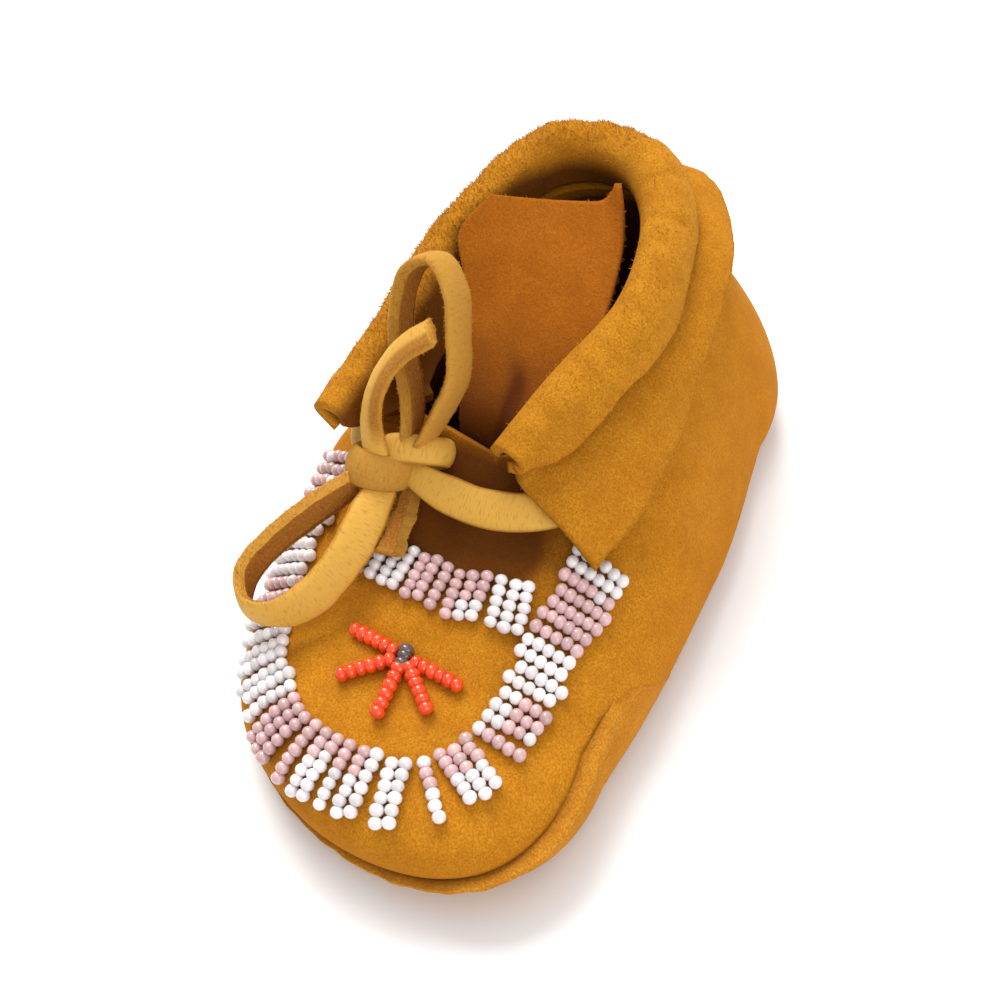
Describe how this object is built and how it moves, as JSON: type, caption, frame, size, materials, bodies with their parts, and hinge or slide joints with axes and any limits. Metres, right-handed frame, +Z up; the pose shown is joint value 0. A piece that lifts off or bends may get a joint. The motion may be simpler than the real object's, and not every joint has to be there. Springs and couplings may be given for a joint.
{
  "type": "beaded moccasin",
  "caption": "Soft hide infant moccasin: hollow upper with beaded vamp, turned-up sole, tongue, rolled cuff over a loose flap, and a hide thong tied in a bow at the instep.",
  "frame": {"origin": "on the floor under the middle of the sole", "axes": "+Z up, -Y towards the toe, +X towards the wearer's inner side"},
  "size_m": [0.066, 0.1202, 0.0579],
  "materials": {
    "suede": "smoke-tanned suede, napped and dry",
    "suede_sole": "smoke-tanned suede, a little darker and rubbed",
    "thong_hide": "cut thong, smooth grain outside and suede inside",
    "beads_pale": "opaque white and pink lustre seed beads",
    "beads_red": "opaque orange-red seed beads with a dark glass centre"
  },
  "bodies": {
    "root": {"sole": "suede_sole", "upper": "suede", "tongue": "suede", "cuff": "suede", "ankle_flap": "suede", "thong_ankle": "thong_hide", "thong_knot": "thong_hide", "thong_loop_upper": "thong_hide", "thong_loop_lower": "thong_hide", "thong_end_upper": "thong_hide", "thong_end_lower": "thong_hide", "bead_border": "beads_pale", "bead_crossband": "beads_pale", "bead_flower": "beads_red"}
  },
  "joints": []
}
